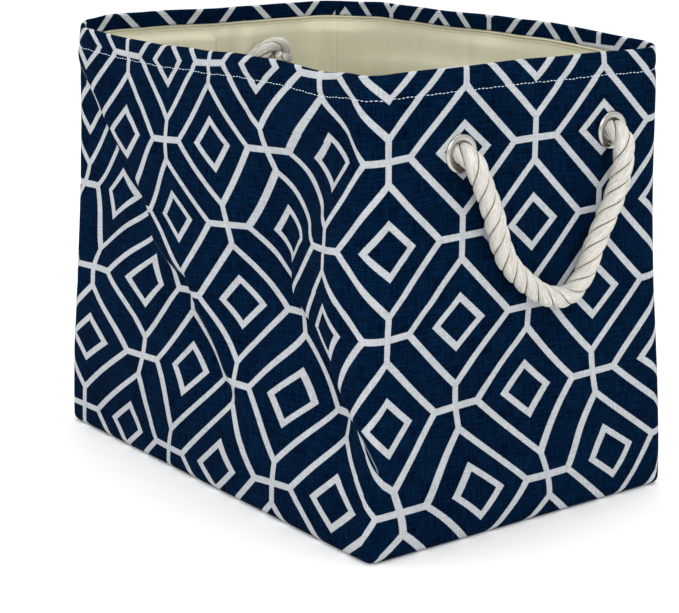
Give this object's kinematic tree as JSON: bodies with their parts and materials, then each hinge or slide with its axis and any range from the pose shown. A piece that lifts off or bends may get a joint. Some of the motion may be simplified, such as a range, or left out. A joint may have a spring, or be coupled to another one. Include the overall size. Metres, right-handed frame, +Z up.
{
  "type": "fabric storage bin",
  "caption": "Open rectangular soft bin with a geometric print, a turned-in hem, a coated lining, a board in the base and a rope handle through metal grommets at each end.",
  "frame": {"origin": "middle of the underside, where the bin meets the floor", "axes": "+Z up, +X along the long side towards the right handle, +Y along the short side towards the back wall"},
  "size_m": [0.4886, 0.3202, 0.3809],
  "materials": {
    "printed_cloth": "matt woven polyester, navy with an off-white lattice print",
    "coated_lining": "smooth cream coating with a slight sheen",
    "board": "grey-brown greyboard, matt",
    "grommet_metal": "polished nickel plate",
    "rope_cotton": "soft three-strand cotton, matt",
    "thread": "white sewing thread"
  },
  "bodies": {
    "bin": {"outer_wall": "printed_cloth", "outer_base": "printed_cloth", "base_board": "board", "lining_wall": "coated_lining", "lining_base": "coated_lining", "hem_topstitch": "thread", "eyelet_right_front": "grommet_metal", "washer_right_front": "grommet_metal", "rope_throat_right_front": "rope_cotton", "rope_knot_right_front": "rope_cotton", "eyelet_right_back": "grommet_metal", "washer_right_back": "grommet_metal", "rope_throat_right_back": "rope_cotton", "rope_knot_right_back": "rope_cotton", "eyelet_left_back": "grommet_metal", "washer_left_back": "grommet_metal", "rope_throat_left_back": "rope_cotton", "rope_knot_left_back": "rope_cotton", "eyelet_left_front": "grommet_metal", "washer_left_front": "grommet_metal", "rope_throat_left_front": "rope_cotton", "rope_knot_left_front": "rope_cotton"},
    "right_handle": {"handle_rope_right": "rope_cotton"},
    "left_handle": {"handle_rope_left": "rope_cotton"}
  },
  "joints": [
    {"name": "right_handle_swing", "type": "hinge", "parent": "bin", "child": "right_handle", "pos_m": [0.235, 0.013, 0.313], "axis": [0, -1, 0], "range_deg": [0, 180]},
    {"name": "left_handle_swing", "type": "hinge", "parent": "bin", "child": "left_handle", "pos_m": [-0.235, -0.021, 0.313], "axis": [0, 1, 0], "range_deg": [0, 180]}
  ]
}
